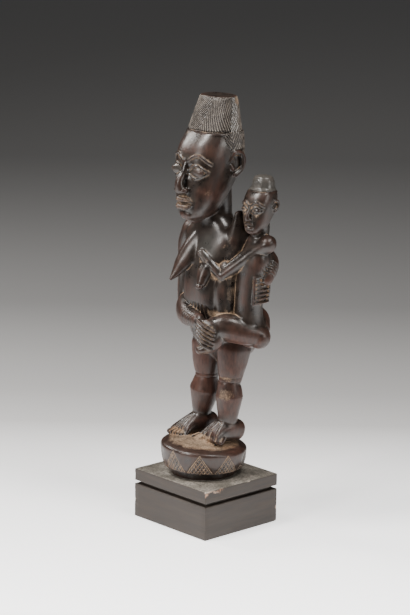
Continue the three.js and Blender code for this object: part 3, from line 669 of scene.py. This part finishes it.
def band_lines(p):
    """Outlined triangles round the base's band, crossed inside by lines along their two sides."""
    q = p.copy()
    q[:, 0] -= BASE_SHIFT[0]
    q[:, 1] -= BASE_SHIFT[1]
    height = q[:, 2] + CARVING_FOOT - BASE_FOOT
    outward = q[:, 0] * math.sin(TOP_FALL_TOWARDS) - q[:, 1] * math.cos(TOP_FALL_TOWARDS)
    slope = TOP_FALL * outward / (2 * BASE_RADIUS * BASE_HEIGHT)
    t = (height / (1 - slope) - BAND_LOW) / BAND_HEIGHT
    turn = np.degrees(np.arctan2(q[:, 0], -q[:, 1]))
    pitch = 360 / BAND_TRIANGLES
    a = ((turn - BAND_START + pitch / 2) % pitch - pitch / 2) / (0.46 * pitch)
    rise = 0.92 * BAND_HEIGHT
    run = math.radians(0.46 * pitch) * BASE_RADIUS
    lean = math.cos(math.atan2(rise, run))
    edge = (0.94 - t - 0.92 * np.abs(a)) * BAND_HEIGHT * lean
    outline = notch(edge, 0.7)
    one = (t + 0.92 * a) * BAND_HEIGHT * lean / HATCH
    two = (t - 0.92 * a) * BAND_HEIGHT * lean / HATCH
    off_one, off_two = (one - np.round(one)) * HATCH, (two - np.round(two)) * HATCH
    crossing = np.maximum(notch(off_one, 0.6), notch(off_two, 0.6))
    on_band = (np.hypot(q[:, 0], q[:, 1]) > 27.5) & (t > 0.02) & (t < 0.99)
    return np.where(on_band, np.maximum(outline, np.where(edge > 0, 0.9 * crossing, 0)), 0)


PLAIN_TOP = 0.75         # a surface that faces up more than this carries no hair strokes
HAIR_DEPTH, HAIRLINE_DEPTH, CAP_RIM_DEPTH, BRACELET_DEPTH = 0.7, 1.2, 0.8, 0.75
KNEE_DEPTH, BAND_DEPTH, TOE_DEPTH = 0.35, 0.45, 0.75


def finish_carving(piece):
    """Cuts the fine lines, leaves the knife's faint facets, and thins the mesh where it is plain."""
    p = in_carving(points_of(piece))
    n = normals_of(piece)
    deep = HAIR_DEPTH * np.where(n[:, 2] > PLAIN_TOP, 0, hair_strokes(p)) + HAIRLINE_DEPTH * hairline_cut(p)
    deep += CAP_RIM_DEPTH * cap_rim(p) + BRACELET_DEPTH * bracelets(p) + KNEE_DEPTH * knee_lines(p)
    deep += BAND_DEPTH * band_lines(p) + TOE_DEPTH * toe_combs(p)
    facets = 0.07 * lattice_noise(p, 6.0, 3) + 0.02 * lattice_noise(p, 1.8, 4)
    move_points(piece, points_of(piece) - n * ((deep + facets) * mm)[:, None])
    triangles = sum(len(polygon.vertices) - 2 for polygon in piece.data.polygons)
    thin = piece.modifiers.new("thin", "DECIMATE")
    thin.ratio = min(1, FIGURE_TRIANGLES / triangles)
    deselect()
    piece.select_set(True)
    bpy.context.view_layer.objects.active = piece
    bpy.ops.object.modifier_apply(modifier=thin.name)
    bpy.ops.object.shade_smooth()


figure = carve_figure()
melt_joins(figure)
finish_carving(figure)
print("figure", len(figure.data.vertices), "points", len(figure.data.polygons), "faces")


# What the surface shows: recesses that hold pale dust and places that hands have rubbed red, each with
# its reach along the three axes and its strength. A strength below 0 keeps a place clean or dark.
DUSTY_PLACES = [
    ((0, -28, 183), (13, 10, 9), 0.8), ((0, -30, 191), (8, 10, 6), 0.4), ((17, -17, 191), (6, 6, 3.5), 0.7),
    ((24, -2, 150), (8, 12, 14), 0.5), ((34, 4, 166), (8, 12, 10), 0.8), ((36, 2, 176), (8, 8, 10), 0.5),
    ((17, -9, 101), (11, 9, 4), 1.3), ((20, -20, 90), (11, 7, 12), 0.7), ((9, -12, 140), (6, 7, 10), 0.6),
    ((46, 9, 121), (6, 9, 12), 0.5), ((16, -18, 77), (9, 8, 8), 0.7), ((21, -8, 128), (6, 7, 6), 0.6),
    ((-12, -14, 98), (18, 12, 8), 0.3), ((19, 0, 39), (9, 9, 8), 1.0), ((26, -3, 118), (2.6, 5, 20), 0.8),
    ((16, -20, 76), (8, 8, 6), 0.6), ((16, 4, 50), (12, 9, 3), 0.8), ((0, -18, 231.2), (22, 14, 2.2), 0.8),
    ((0, -4, 255), (6, 7, 5), 0.6), ((14.5, 13, 255), (5, 6, 6), 1.4), ((-20, -10, 4), (12, 8, 4), 0.9),
    ((8, -6, 4), (14, 7, 4), 0.9), ((4, -6, 4), (16, 8, 5), 0.8), ((2, 2, 62), (16, 16, 14), -1.6),
    ((10, -10, 168), (18, 14, 7), -1.0)]
RUBBED_PLACES = [
    ((14, 5, 45), (22, 24, 50), 1.3), ((-14, 5, 45), (20, 22, 50), 1.3), ((20, -12, 190), (10, 14, 10), 0.9),
    ((30, 0, 82), (24, 24, 12), 0.8), ((26, -4, 133), (20, 10, 10), 0.6), ((-28, 4, 104), (12, 14, 20), 0.5),
    ((36, 2, 104), (10, 10, 20), 0.4), ((40, 14, 84), (12, 12, 12), 0.8),
    ((-12, -20, 128), (8, 10, 10), 0.3), ((25, 5, 166), (9, 9, 14), -1.6),
    ((39, 12, 190), (16, 18, 32), -0.8)]
FACE_LINES = []
for face_side in (1, -1):
    FACE_LINES += lid(face_side, LID_RISES[0], 29) + lid(face_side, LID_RISES[1], 29) + brow(face_side, 33)
FACE_LINES = np.array(FACE_LINES)


def beside_face_lines(p):
    """How much dust lies beside the lids and brows of the two heads."""
    dust = np.zeros(len(p))
    for q, out, wide in ((p, 1.3, 0.45), (to_child_head(p), 2.2, 0.8)):
        on_face = (np.abs(q[:, 0]) < 24) & (q[:, 1] < 2) & (q[:, 2] > EYES - 9) & (q[:, 2] < BROWS + 12)
        away = np.linalg.norm(q[on_face][:, None, :] - FACE_LINES[None], axis=2).min(axis=1)
        dust[on_face] = np.maximum(dust[on_face], np.exp(-((away - out) / wide) ** 2))
    return dust


def on_base_top(p, n):
    q = p[:, :2] - np.array(BASE_SHIFT)
    low = (p[:, 2] < 7) & (p[:, 2] > -5)
    return np.where(low, between(30, 23, np.hypot(q[:, 0], q[:, 1])) * between(0.5, 0.85, n[:, 2]), 0)


def store(piece, name, values):
    layer = piece.data.attributes.new(name, "FLOAT", "POINT")
    layer.data.foreach_set("value", np.asarray(values, np.float32))


def mark_surface(piece):
    p = in_carving(points_of(piece))
    n = normals_of(piece)
    ends = edges_of(piece)
    close = eased_over_neighbours(p, ends, len(p), 8)
    wide = eased_over_neighbours(close, ends, len(p), 60)
    fine_dip = np.einsum("ij,ij->i", close - p, n)
    wide_dip = np.einsum("ij,ij->i", wide - close, n)
    _, _, on_hair = hair_place(p)
    strokes = np.where(n[:, 2] > PLAIN_TOP, 0, hair_strokes(p))
    on_face = (p[:, 2] > 170) & (p[:, 2] < 231) & (p[:, 1] < 2) & (np.abs(p[:, 0]) < 24)
    dust = np.where(on_hair, 0, between(0.05, 0.32, fine_dip) * 0.75) + between(0.2, 1.3, wide_dip) * 0.5
    dust *= np.where(on_face, 0.5, 1)
    rub = between(0.02, 0.25, -fine_dip) * 0.5 + between(0.1, 0.9, -wide_dip) * 0.5
    for spot, reach, amount in DUSTY_PLACES:
        dust += amount * between(0, 0.6, near(p, spot, reach)) * 0.6
    for spot, reach, amount in RUBBED_PLACES:
        rub += amount * near(p, spot, reach)
    dust += 0.95 * band_lines(p) + 0.6 * beside_face_lines(p) + 0.82 * on_base_top(p, n)
    dust += 0.5 * toe_combs(p)
    q = to_child_head(p)
    child_cap = (q[:, 2] > HAIRLINE) & (np.hypot(q[:, 0], q[:, 1] - 4) < 24)
    store(piece, "dust", np.clip(dust, 0, 1.5))
    store(piece, "rub", np.clip(rub, 0, 1.5))
    store(piece, "hair", on_hair & (p[:, 2] > 198) & (n[:, 2] < PLAIN_TOP))
    store(piece, "stroke", np.maximum(strokes, hairline_cut(p)))
    eyes = np.maximum(near(p, (EYE_OUT, -25, EYES), (8, 8, 6)), near(p, (-EYE_OUT, -25, EYES), (8, 8, 6)))
    # On the chest the grey is partly patina and partly a painted sheen for the light that falls there.
    chest_grey_and_sheen = near(p, (9, -12, 152), (16, 14, 14))
    grey = np.maximum(0.25 * between(0, 0.5, eyes), 0.7 * between(0, 0.8, chest_grey_and_sheen))
    store(piece, "grey", np.maximum(0.7 * child_cap, grey))


mark_surface(figure)


def new_material(name):
    material = bpy.data.materials.new(name)
    material.use_nodes = True
    tree = material.node_tree
    shader = tree.nodes["Principled BSDF"]

    def add(kind, settings=(), **inputs):
        node = tree.nodes.new(kind)
        for key, value in dict(settings).items():
            setattr(node, key, value)
        for key, value in inputs.items():
            numbered = key[0] == "i" and key[1:].isdigit()
            socket = node.inputs[int(key[1:]) if numbered else key.replace("_", " ")]
            if isinstance(value, bpy.types.NodeSocket):
                tree.links.new(value, socket)
            else:
                socket.default_value = value
        return node

    return material, tree, shader, add


def mix_colour(add, factor, first, second):
    node = add("ShaderNodeMix", {"data_type": "RGBA"}, i0=factor, i6=first, i7=second)
    return node.outputs[2]


def plus(add, first, second):
    return add("ShaderNodeMath", {"operation": "ADD"}, i0=first, i1=second).outputs[0]


def less(add, first, second):
    return add("ShaderNodeMath", {"operation": "SUBTRACT"}, i0=first, i1=second).outputs[0]


def times(add, first, second):
    clamped = {"operation": "MULTIPLY", "use_clamp": True}
    return add("ShaderNodeMath", clamped, i0=first, i1=second).outputs[0]


def window(add, value, low, high, to_low=0.0, to_high=1.0):
    node = add("ShaderNodeMapRange", {"clamp": True}, Value=value, From_Min=low, From_Max=high,
               To_Min=to_low, To_Max=to_high)
    return node.outputs[0]


def noise(add, place, size, detail=3.0, roughness=0.55, stretch=(1, 1, 1)):
    mapping = add("ShaderNodeMapping", Vector=place, Scale=stretch)
    node = add("ShaderNodeTexNoise", Vector=mapping.outputs[0], Scale=1 / (size * mm), Detail=detail,
               Roughness=roughness)
    return node.outputs["Fac"]


def layer(add, name):
    return add("ShaderNodeAttribute", {"attribute_name": name}).outputs["Fac"]


# Colours of the carving, most as a darker and a lighter shade.
DARK_PATINA = (0.0125, 0.009, 0.0075, 1), (0.032, 0.0225, 0.0175, 1)
RUBBED_RED = (0.034, 0.0165, 0.0125, 1), (0.078, 0.036, 0.026, 1)
PALE_DUST = (0.2, 0.135, 0.085, 1), (0.42, 0.3, 0.205, 1)
OCHRE_DUST = (0.25, 0.13, 0.062, 1)
# Grey patina of the eyes and the child's cap, also laid on the chest as a painted sheen.
GREY_PATINA_AND_PAINTED_SHEEN = (0.085, 0.083, 0.076, 1)
# A pale grey painted highlight for the ridges between the hair strokes.
HAIR_RIDGE_PAINTED_HIGHLIGHT = (0.24, 0.21, 0.18, 1)
# A near black painted shade for the grooves of the hair strokes.
HAIR_GROOVE_PAINTED_SHADE = (0.022, 0.017, 0.014, 1)


def patinated_wood():
    """Dark glossy patina, red-brown where it is rubbed, with ochre and grey dust in the cuts, a painted
    highlight on the hair's ridges, painted shade in its grooves and a painted grey sheen on the chest.
    """
    material, tree, shader, add = new_material("patinated_wood")
    place = add("ShaderNodeTexCoord").outputs["Object"]
    broad, middle = noise(add, place, 22), noise(add, place, 5, 4)
    speck = noise(add, place, 1.1, 4, 0.65)
    grain = noise(add, place, 2.2, 5, 0.65, (1, 1, 0.3))
    dust, rub, hair, stroke, grey = (layer(add, name) for name in ("dust", "rub", "hair", "stroke", "grey"))
    dark = mix_colour(add, window(add, middle, 0.35, 0.7), *DARK_PATINA)
    red = mix_colour(add, window(add, grain, 0.35, 0.7), *RUBBED_RED)
    rubbed = window(add, plus(add, times(add, rub, broad), times(add, middle, 0.3)), 0.35, 0.95)
    colour = mix_colour(add, rubbed, dark, red)
    # Grey patina on the eyes and the child's cap; on the chest it is partly patina, partly a painted sheen.
    colour = mix_colour(add, times(add, grey, 0.8), colour, GREY_PATINA_AND_PAINTED_SHEEN)
    pale = mix_colour(add, window(add, speck, 0.35, 0.65), *PALE_DUST)
    dust_colour = mix_colour(add, window(add, broad, 0.5, 0.75), pale, OCHRE_DUST)
    dusty_at = plus(add, dust, times(add, less(add, speck, 0.5), 1.3))
    dusty_at = plus(add, dusty_at, less(add, middle, 0.5))
    dusty = window(add, dusty_at, 0.4, 1.15, 0, 0.85)
    # Painted highlight: the tops of the hair strokes turn pale grey.
    painted_ridge_highlight = times(add, hair, window(add, stroke, 0.1, 0.7, 1, 0))
    patchy = window(add, plus(add, middle, speck), 0.8, 1.2, 0.1, 1.0)
    colour = mix_colour(add, times(add, painted_ridge_highlight, patchy), colour, HAIR_RIDGE_PAINTED_HIGHLIGHT)
    colour = mix_colour(add, dusty, colour, dust_colour)
    # Painted shade: the grooves of the hair strokes turn near black.
    painted_groove_shade = times(add, hair, window(add, stroke, 0.3, 1.0, 0, 0.85))
    colour = mix_colour(add, painted_groove_shade, colour, HAIR_GROOVE_PAINTED_SHADE)
    tree.links.new(colour, shader.inputs["Base Color"])
    worn = plus(add, window(add, dusty, 0, 0.7, 0.2, 0.7), times(add, middle, 0.2))
    worn = plus(add, worn, times(add, rubbed, 0.1))
    shine = window(add, plus(add, rubbed, dusty), 0, 1, 0.5, 0.22)
    tree.links.new(shine, shader.inputs["Specular IOR Level"])
    tree.links.new(plus(add, worn, times(add, hair, 0.06)), shader.inputs["Roughness"])
    height = plus(add, times(add, grain, 0.4), times(add, speck, 0.5))
    bump = add("ShaderNodeBump", Strength=0.3, Distance=0.25 * mm, Height=height)
    tree.links.new(bump.outputs[0], shader.inputs["Normal"])
    return material


# Colours of the plinth, each as a darker and a lighter shade.
BROWN_STAIN = (0.013, 0.0085, 0.006, 1), (0.04, 0.0285, 0.021, 1)
TOP_DUST = (0.13, 0.12, 0.1, 1), (0.34, 0.31, 0.27, 1)
BARE_EDGE = (0.42, 0.2, 0.1, 1), (0.6, 0.55, 0.47, 1)


def stained_wood():
    """The plinth's matt grey-brown stain: fine level grain, a dusty worn top and pale knocked edges."""
    material, tree, shader, add = new_material("stained_wood")
    place = add("ShaderNodeTexCoord").outputs["Object"]
    fibre = noise(add, place, 1.0, 5, 0.6, (0.06, 0.06, 1))
    streak = noise(add, place, 5, 3, 0.6, (0.12, 0.12, 1))
    cloud, speck = noise(add, place, 14, 4, 0.6), noise(add, place, 1.4, 4, 0.7)
    top, edge = layer(add, "top"), layer(add, "edge")
    figured = plus(add, times(add, fibre, 0.6), times(add, streak, 0.4))
    brown = mix_colour(add, window(add, figured, 0.35, 0.65), *BROWN_STAIN)
    dusty = mix_colour(add, window(add, cloud, 0.35, 0.65), *TOP_DUST)
    dusty = mix_colour(add, window(add, speck, 0.3, 0.6), brown, dusty)
    colour = mix_colour(add, top, brown, dusty)
    bare = mix_colour(add, window(add, streak, 0.4, 0.6), *BARE_EDGE)
    knocked = window(add, plus(add, edge, less(add, speck, 0.5)), 0.55, 0.95)
    colour = mix_colour(add, knocked, colour, bare)
    tree.links.new(colour, shader.inputs["Base Color"])
    tree.links.new(window(add, fibre, 0.3, 0.7, 0.5, 0.68), shader.inputs["Roughness"])
    bump = add("ShaderNodeBump", Strength=0.3, Distance=0.2 * mm, Height=fibre)
    tree.links.new(bump.outputs[0], shader.inputs["Normal"])
    return material


# The plinth: the CAD block's own shape with eased, knocked edges.
PLINTH = (78.0, 72.5, BASE_FOOT)
CUT_LOW, CUT_HIGH, CUT_DEPTH = 25.4, 28.0, 3.8       # the groove's two heights and its depth


def saw_plinth():
    deselect()
    bpy.ops.mesh.primitive_cube_add(size=1, location=(0, 0, PLINTH[2] / 2), scale=PLINTH)
    piece = bpy.context.object
    piece.name = "sawn_plinth"
    piece.data.name = "sawn_plinth"
    bpy.ops.object.transform_apply(location=True, rotation=True, scale=True)
    bpy.ops.object.mode_set(mode="EDIT")
    for height in (CUT_LOW, CUT_HIGH):
        bpy.ops.mesh.select_all(action="SELECT")
        bpy.ops.mesh.bisect(plane_co=(0, 0, height), plane_no=(0, 0, 1))
    bpy.ops.mesh.select_mode(type="FACE")
    bpy.ops.mesh.select_all(action="DESELECT")
    bpy.ops.object.mode_set(mode="OBJECT")
    for polygon in piece.data.polygons:
        polygon.select = abs(polygon.center.z - (CUT_LOW + CUT_HIGH) / 2) < 0.1
    bpy.ops.object.mode_set(mode="EDIT")
    inward = {"value": -CUT_DEPTH, "use_even_offset": True}
    bpy.ops.mesh.extrude_region_shrink_fatten(TRANSFORM_OT_shrink_fatten=inward)
    bpy.ops.mesh.select_mode(type="EDGE")
    bpy.ops.mesh.select_all(action="DESELECT")
    bpy.ops.mesh.edges_select_sharp(sharpness=math.radians(40))
    bpy.ops.mesh.bevel(offset=0.5, segments=3)
    bpy.ops.mesh.select_all(action="SELECT")
    bpy.ops.mesh.subdivide(number_cuts=14)
    bpy.ops.object.mode_set(mode="OBJECT")
    return piece


def wear_plinth(piece):
    p = points_of(piece)
    n = normals_of(piece)
    inset = [PLINTH[0] / 2 - np.abs(p[:, 0]), PLINTH[1] / 2 - np.abs(p[:, 1]), PLINTH[2] - p[:, 2]]
    rim = np.sort(np.stack(inset), axis=0)[1]
    lumps = lattice_noise(p, 5.0, 7) * 0.6 + lattice_noise(p, 2.2, 8) * 0.5
    edge = between(1.6, 0.2, rim) * between(0.1, 0.7, lumps)
    front = np.linalg.norm(p - np.array([39, -36.2, 37]), axis=1)
    edge = np.maximum(edge, between(32, 4, front) * between(9, 0.5, rim) * between(-0.5, 0.5, lumps))
    p -= n * (0.3 * edge)[:, None]
    move_points(piece, p)
    store(piece, "edge", edge)
    store(piece, "top", between(PLINTH[2] - 0.5, PLINTH[2] - 0.2, p[:, 2]) * between(0.6, 0.9, n[:, 2]))
    piece.data.transform(Matrix.Scale(mm, 4))
    deselect()
    piece.select_set(True)
    bpy.context.view_layer.objects.active = piece
    bpy.ops.object.shade_smooth_by_angle(angle=math.radians(35))


plinth = saw_plinth()
wear_plinth(plinth)
print("plinth", len(plinth.data.polygons), "faces")


# The photograph's viewpoint: how far it is turned to the figure's left, lifted and rolled, in degrees,
# then its distance and where it aims in metres, and the lens in millimetres.
VIEW_TURN, VIEW_LIFT, VIEW_ROLL = 47.12, 13.71, 0.88
VIEW_DISTANCE, AIM_HEIGHT, AIM_ACROSS = 1.8, 0.1621, -0.0026
LENS = 143.8


def camera():
    turn, lift, roll = math.radians(VIEW_TURN), math.radians(VIEW_LIFT), math.radians(VIEW_ROLL)
    back = Vector((math.sin(turn) * math.cos(lift), -math.cos(turn) * math.cos(lift), math.sin(lift)))
    right = Vector((math.cos(turn), math.sin(turn), 0))
    up = back.cross(right)
    aim = right * AIM_ACROSS + Vector((0, 0, AIM_HEIGHT))
    leaned_right = right * math.cos(roll) + up * math.sin(roll)
    leaned_up = up * math.cos(roll) - right * math.sin(roll)
    turned = Matrix((leaned_right, leaned_up, back))
    data = bpy.data.cameras.new("camera")
    data.lens = LENS
    data.sensor_fit = "VERTICAL"
    data.sensor_height = 36
    viewer = bpy.data.objects.new("camera", data)
    viewer.matrix_world = Matrix.Translation(aim + back * VIEW_DISTANCE) @ turned.transposed().to_4x4()
    bpy.context.scene.collection.objects.link(viewer)
    bpy.context.scene.camera = viewer


WARM = (1, 0.97, 0.93)


def area_light(name, spot, aim, size, power, colour=WARM):
    data = bpy.data.lights.new(name, "AREA")
    data.shape = "RECTANGLE"
    data.size, data.size_y = size
    data.energy = power
    data.color = colour
    lamp = bpy.data.objects.new(name, data)
    lamp.location = spot
    lamp.rotation_euler = (Vector(aim) - Vector(spot)).to_track_quat("-Z", "Y").to_euler()
    bpy.context.scene.collection.objects.link(lamp)


def floor():
    """A backdrop sheet with a painted glow before the carving, and painted shade that darkens it behind the
    carving and lightens again far off.
    """
    deselect()
    bpy.ops.mesh.primitive_plane_add(size=14, location=(0, 0, 0))
    sheet = bpy.context.object
    sheet.name = "floor"
    material, tree, shader, add = new_material("backdrop_painted_light_and_shade")
    place = add("ShaderNodeTexCoord").outputs["Object"]
    away_from_viewer = (-0.73, 0.68, 0)
    dot = add("ShaderNodeVectorMath", {"operation": "DOT_PRODUCT"}, i0=place, i1=away_from_viewer)
    behind = dot.outputs["Value"]
    # The ramp is painted light and shade: pale before the carving, dark behind it, pale again far off.
    shade = add("ShaderNodeValToRGB", i0=window(add, behind, -0.6, 3.8))
    stops = ((0.06, 0.06), (0.085, 0.95), (0.16, 0.75), (0.216, 0.42), (0.29, 0.25), (0.48, 0.26),
             (0.91, 0.85))
    for _ in stops[2:]:
        shade.color_ramp.elements.new(0.5)
    for element, (spot, grey) in zip(shade.color_ramp.elements, stops):
        element.position = spot
        element.color = (grey, grey, grey * 1.01, 1)
    tree.links.new(shade.outputs[0], shader.inputs["Base Color"])
    shader.inputs["Roughness"].default_value = 0.9
    shader.inputs["Emission Color"].default_value = (1, 1, 1, 1)
    # The emission before the carving is a painted glow, lighting the sheet like a pool of lamp light.
    glow = times(add, window(add, behind, 0.25, -0.2), window(add, behind, -0.28, -0.2))
    tree.links.new(window(add, glow, 0, 1, 0, 2.3), shader.inputs["Emission Strength"])
    sheet.data.materials.append(material)


camera()
floor()
area_light("soft_key", (-0.2, -0.46, 1.02), (0, 0, 0.26), (0.24, 0.24), 10)
area_light("soft_side", (0.46, 0.04, 1.05), (0, 0, 0.26), (0.22, 0.26), 7)
area_light("soft_rim", (-0.91, -0.27, 0.83), (0, 0, 0.22), (0.22, 0.34), 7)
area_light("soft_front", (-0.05, -1.2, 0.72), (0, 0, 0.2), (0.22, 0.5), 12, (1, 0.96, 0.92))
area_light("soft_low_side", (1.2, 0.35, 0.55), (0, 0, 0.2), (0.3, 0.6), 6)
world = bpy.context.scene.world or bpy.data.worlds.new("studio")
bpy.context.scene.world = world
world.use_nodes = True
world.node_tree.nodes["Background"].inputs["Color"].default_value = (0.5, 0.5, 0.5, 1)
world.node_tree.nodes["Background"].inputs["Strength"].default_value = 0.05

for piece, material, node, slot in ((figure, patinated_wood(), "figure", "figure_wood"),
                                    (plinth, stained_wood(), "plinth", "plinth_wood")):
    piece.data.materials.clear()
    piece.data.materials.append(material)
    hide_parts(node)
    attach(piece, "root")
